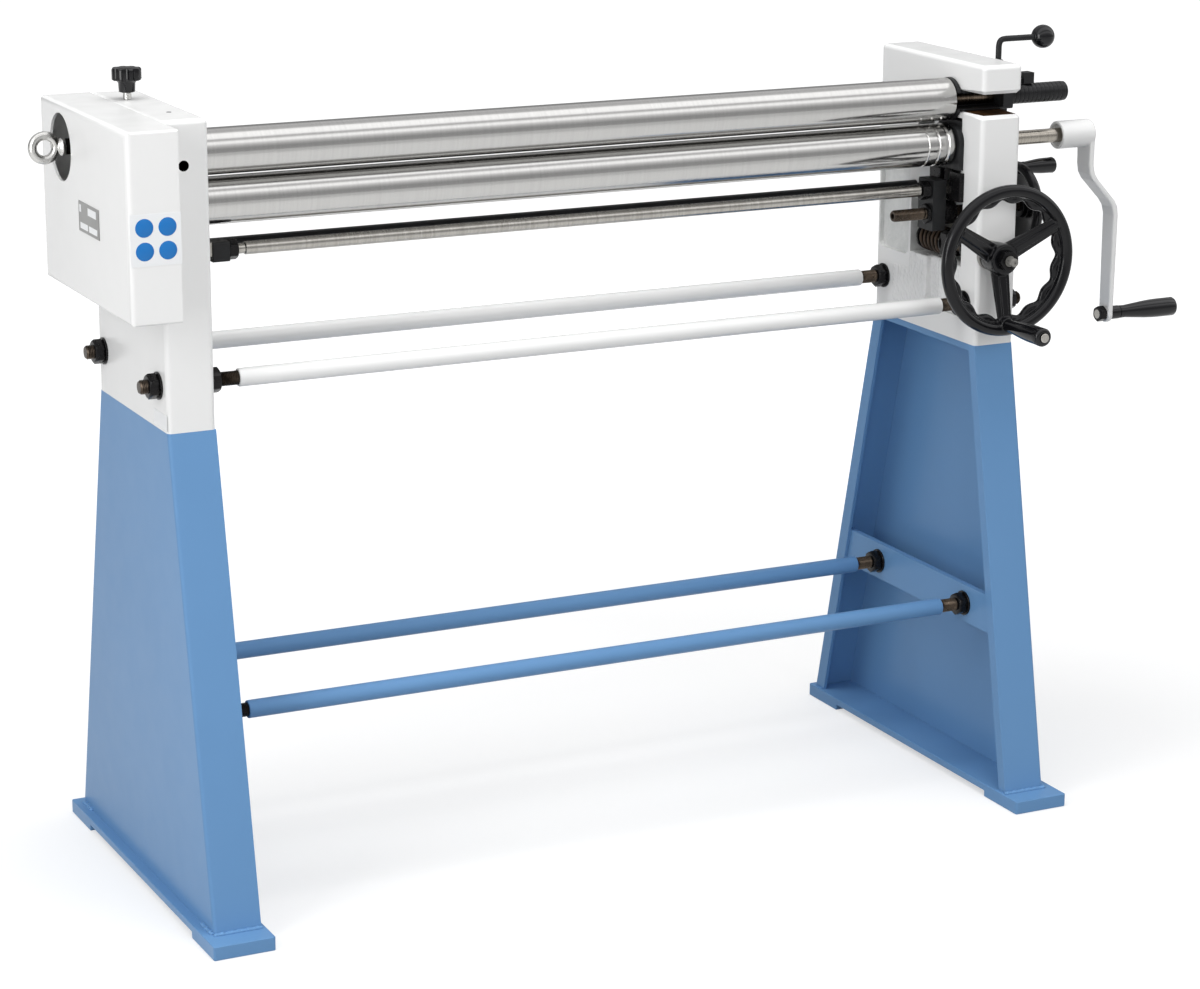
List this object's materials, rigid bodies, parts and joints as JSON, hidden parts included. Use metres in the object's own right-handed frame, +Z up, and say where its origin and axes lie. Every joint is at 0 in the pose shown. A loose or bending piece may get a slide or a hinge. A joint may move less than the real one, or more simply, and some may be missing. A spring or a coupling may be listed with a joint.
{
  "type": "slip roll machine",
  "caption": "Floor-standing hand slip roll: geared pinch rolls, rear bending roll, swing-out top roll, crank, handwheels and sheet-steel stand",
  "frame": {"origin": "on the floor, at the middle of the machine's footprint box at rest", "axes": "+X along the rolls towards the crank, -Y towards the operator, +Z up"},
  "size_m": [1.9974, 0.692, 1.2715],
  "materials": {
    "white_paint": "gloss",
    "blue_paint": "gloss",
    "ground_steel": "ground",
    "black_steel": "black oxide",
    "black_paint": "gloss",
    "thread_steel": "oiled",
    "black_grip": "gloss",
    "cast_iron": "machined",
    "galvanised": "bright",
    "bronze": "turned"
  },
  "bodies": {
    "frame": {"feet": "blue_paint", "left_leg": "blue_paint", "right_leg": "blue_paint", "cross_bars": "blue_paint", "upper_tie_tubes": "white_paint", "lower_tie_tubes": "blue_paint", "tie_studs": "thread_steel", "tie_nuts": "black_steel", "left_housing": "white_paint", "right_housing": "white_paint", "housing_screws": "black_steel", "wedge_guides": "black_steel", "screw_bushes": "cast_iron", "gear_cover": "white_paint", "gear_ring": "bronze", "lever_bracket": "white_paint"},
    "side_wheel": {"side_spindle": "thread_steel", "spindle_collars": "black_steel", "side_handwheel": "black_paint", "side_grip_pin": "ground_steel"},
    "side_grip": {"side_grip": "black_grip"},
    "lift": {"lift_rod": "ground_steel", "rod_nuts": "black_steel", "lift_blocks": "black_steel", "lift_wedges": "ground_steel"},
    "lower_carriage": {"lower_bearings": "black_steel", "lower_bushes": "bronze"},
    "lower_roll": {"lower_roll": "ground_steel", "shaft_keys": "ground_steel", "lower_gear": "cast_iron", "crank_arm": "white_paint", "crank_grip_pin": "ground_steel", "shaft_nuts": "black_steel"},
    "crank_grip": {"crank_grip": "black_grip"},
    "upper_gear": {"upper_gear": "cast_iron"},
    "swing": {"swivel_block": "cast_iron", "swing_bearing": "black_steel", "swing_end_plate": "black_steel", "swing_grip": "black_grip"},
    "upper_roll": {"upper_roll": "ground_steel", "drive_pin": "ground_steel"},
    "front_wheel": {"front_screw": "thread_steel", "screw_collars": "black_steel", "screw_spring": "ground_steel", "front_handwheel": "black_paint", "front_grip_pin": "ground_steel"},
    "front_grip": {"front_grip": "black_grip"},
    "right_plate": {"wedge_plate_right": "ground_steel", "travelling_nut": "black_steel"},
    "left_plate": {"wedge_plate_left": "ground_steel"},
    "rock": {"rock_shaft": "black_steel", "rock_levers": "black_steel"},
    "rear_carriage": {"rear_bearings": "cast_iron"},
    "rear_roll": {"rear_roll": "ground_steel"},
    "pull": {"pull_shaft": "thread_steel", "eye_bolt": "galvanised"},
    "star_knob": {"star_knob": "black_grip"},
    "ball_lever": {"lever_rod": "ground_steel", "lever_ball": "black_grip"}
  },
  "joints": [
    {"name": "side_wheel_turn", "type": "hinge", "parent": "frame", "child": "side_wheel", "pos_m": [0.6542, -0.064, 0.97], "axis": [1, 0, 0], "range_deg": [0, 2188.8]},
    {"name": "side_grip_spin", "type": "hinge", "parent": "side_wheel", "child": "side_grip", "pos_m": [0.6708, -0.064, 1.034], "axis": [1, 0, 0], "continuous": true},
    {"name": "lift_slide", "type": "slide", "parent": "frame", "child": "lift", "axis": [-1, 0, 0], "range_m": [0, 0.0152]},
    {"name": "lower_carriage_slide", "type": "slide", "parent": "frame", "child": "lower_carriage", "axis": [0, 0, 1], "range_m": [0, 0.0038]},
    {"name": "crank_turn", "type": "hinge", "parent": "lower_carriage", "child": "lower_roll", "pos_m": [-0.1338, -0.064, 1.0841], "axis": [1, 0, 0], "continuous": true},
    {"name": "crank_grip_spin", "type": "hinge", "parent": "lower_roll", "child": "crank_grip", "pos_m": [0.8802, -0.064, 0.7681], "axis": [1, 0, 0], "continuous": true},
    {"name": "upper_gear_turn", "type": "hinge", "parent": "frame", "child": "upper_gear", "pos_m": [-0.8838, -0.064, 1.1585], "axis": [1, 0, 0], "continuous": true},
    {"name": "upper_roll_swing", "type": "hinge", "parent": "frame", "child": "swing", "pos_m": [-0.8333, -0.064, 1.1585], "axis": [0, 0, -1], "range_deg": [0, 6]},
    {"name": "upper_roll_turn", "type": "hinge", "parent": "swing", "child": "upper_roll", "pos_m": [-0.1338, -0.064, 1.1585], "axis": [1, 0, 0], "continuous": true},
    {"name": "front_wheel_turn", "type": "hinge", "parent": "frame", "child": "front_wheel", "pos_m": [0.5502, -0.214, 0.912], "axis": [0, 1, 0], "range_deg": [0, 2160]},
    {"name": "front_grip_spin", "type": "hinge", "parent": "front_wheel", "child": "front_grip", "pos_m": [0.5502, -0.226, 0.806], "axis": [0, 1, 0], "continuous": true},
    {"name": "right_plate_slide", "type": "slide", "parent": "frame", "child": "right_plate", "axis": [0, -1, 0], "range_m": [0, 0.03]},
    {"name": "left_plate_slide", "type": "slide", "parent": "frame", "child": "left_plate", "axis": [0, -1, 0], "range_m": [0, 0.03]},
    {"name": "rock_shaft_turn", "type": "hinge", "parent": "frame", "child": "rock", "pos_m": [-0.1338, 0.041, 0.996], "axis": [-1, 0, 0], "range_deg": [0, 24.19]},
    {"name": "rear_carriage_slide", "type": "slide", "parent": "frame", "child": "rear_carriage", "axis": [0, -0.342, 0.9397], "range_m": [0, 0.04]},
    {"name": "rear_roll_turn", "type": "hinge", "parent": "rear_carriage", "child": "rear_roll", "pos_m": [-0.1338, 0.025, 1.07], "axis": [1, 0, 0], "continuous": true},
    {"name": "pull_slide", "type": "slide", "parent": "frame", "child": "pull", "axis": [-1, 0, 0], "range_m": [0, 0.028]},
    {"name": "star_knob_turn", "type": "hinge", "parent": "frame", "child": "star_knob", "pos_m": [-0.8428, 0.0655, 1.223], "axis": [0, 0, 1], "range_deg": [0, 360]},
    {"name": "ball_lever_turn", "type": "hinge", "parent": "frame", "child": "ball_lever", "pos_m": [0.6142, -0.068, 1.252], "axis": [0, 0, 1], "range_deg": [0, 75]}
  ],
  "couplings": [
    {"joint": "lift_slide", "follows": "side_wheel_turn", "m_per_rad": 0.00039789},
    {"joint": "lower_carriage_slide", "follows": "side_wheel_turn", "m_per_rad": 0.000099472},
    {"joint": "upper_gear_turn", "follows": "crank_turn", "ratio": -1},
    {"joint": "upper_roll_turn", "follows": "crank_turn", "ratio": -1},
    {"joint": "right_plate_slide", "follows": "front_wheel_turn", "m_per_rad": 0.00079577},
    {"joint": "left_plate_slide", "follows": "front_wheel_turn", "m_per_rad": 0.00079577},
    {"joint": "rock_shaft_turn", "follows": "front_wheel_turn", "ratio": 0.011199},
    {"joint": "rear_carriage_slide", "follows": "front_wheel_turn", "m_per_rad": 0.001061}
  ]
}
